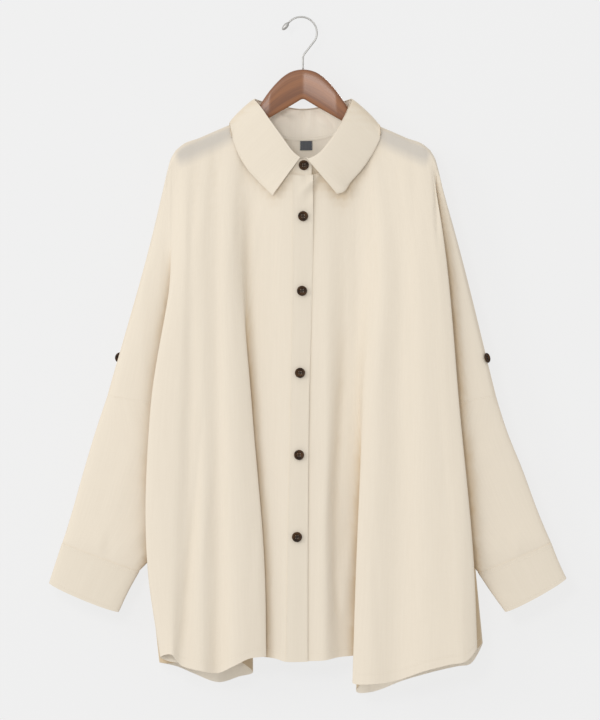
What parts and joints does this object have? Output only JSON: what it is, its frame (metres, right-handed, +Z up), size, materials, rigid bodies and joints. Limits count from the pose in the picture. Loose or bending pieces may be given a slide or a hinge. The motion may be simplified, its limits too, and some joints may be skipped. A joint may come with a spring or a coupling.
{
  "type": "oversized shirt on a hanger",
  "caption": "Loose long-sleeved collared shirt, buttoned down the front, hanging in soft folds on a contoured wooden hanger with a wire hook.",
  "frame": {"origin": "inside of the hook's bend, where a rail or peg bears, in the plane of the wire", "axes": "+Z up, -Y out of the shirt's front, +X to the wearer's left"},
  "size_m": [0.776, 0.1007, 1.0176],
  "materials": {
    "cloth": "matte, slightly sheer, slubby plain weave",
    "label": "matte woven tape",
    "buttons": "semi-gloss",
    "wood": "gloss varnish",
    "steel": "polished"
  },
  "bodies": {
    "root": {"front_right": "cloth", "front_left": "cloth", "back": "cloth", "placket": "cloth", "sleeve_right": "cloth", "sleeve_left": "cloth", "cuff_right": "cloth", "cuff_left": "cloth", "collar_stand": "cloth", "collar_fall": "cloth", "label": "label", "button_1": "buttons", "button_2": "buttons", "button_3": "buttons", "button_4": "buttons", "button_5": "buttons", "button_6": "buttons", "tab_button_right": "buttons", "tab_button_left": "buttons", "cuff_button_right": "buttons", "cuff_button_left": "buttons", "hanger": "wood", "hook": "steel", "hook_tip": "steel"}
  },
  "joints": []
}
